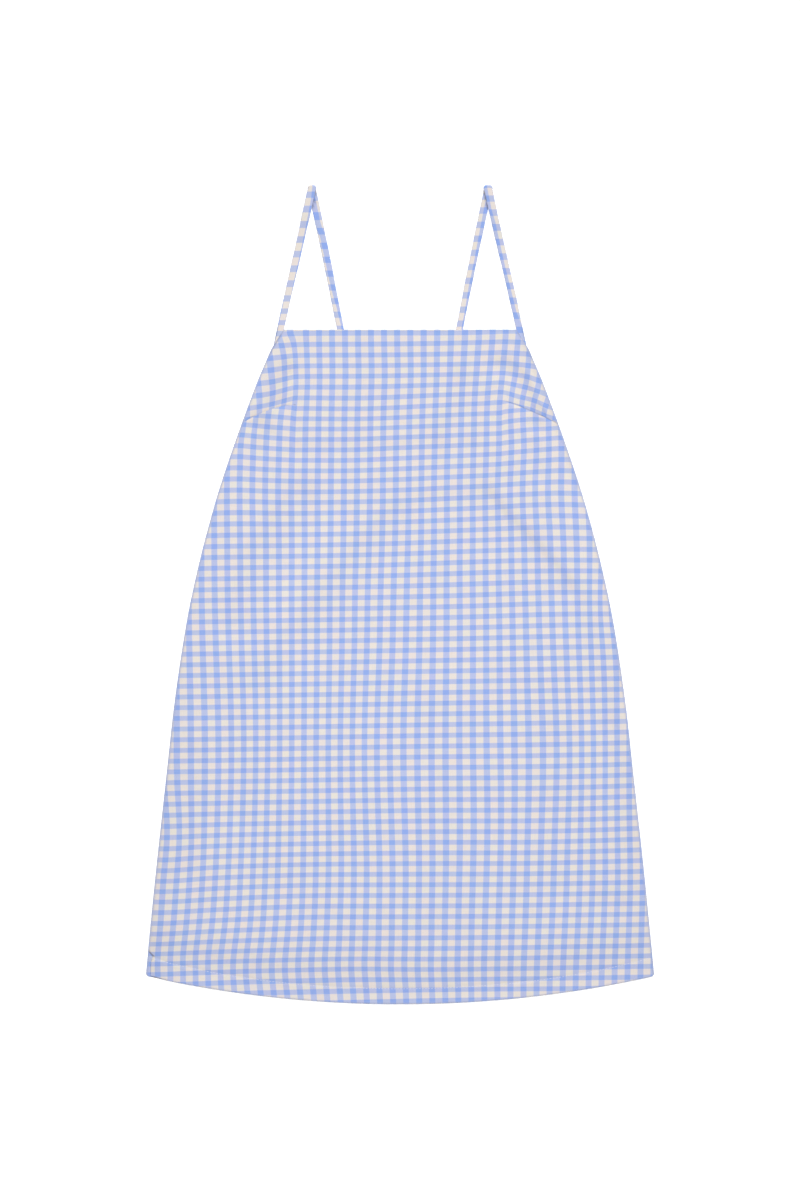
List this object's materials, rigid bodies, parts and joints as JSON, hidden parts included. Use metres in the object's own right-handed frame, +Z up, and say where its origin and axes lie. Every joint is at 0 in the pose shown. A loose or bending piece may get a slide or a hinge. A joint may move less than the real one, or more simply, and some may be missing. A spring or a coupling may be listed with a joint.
{
  "type": "mini dress",
  "caption": "Sleeveless A-line mini dress with thin shoulder straps, in a woven check, laid flat on its back.",
  "frame": {"origin": "middle of the laid dress, on the surface it lies on", "axes": "+Z up off the surface, +Y from the hem to the straps, +X to the right as seen from above"},
  "size_m": [0.539, 0.8678, 0.0053],
  "materials": {
    "front_cloth": "light blue and cream woven check, matt",
    "back_cloth": "light blue and cream woven check, matt",
    "strap_cloth": "light blue and cream woven check, matt"
  },
  "bodies": {
    "root": {"front_panel": "front_cloth", "back_panel": "back_cloth", "strap_left": "strap_cloth", "strap_right": "strap_cloth"}
  },
  "joints": []
}
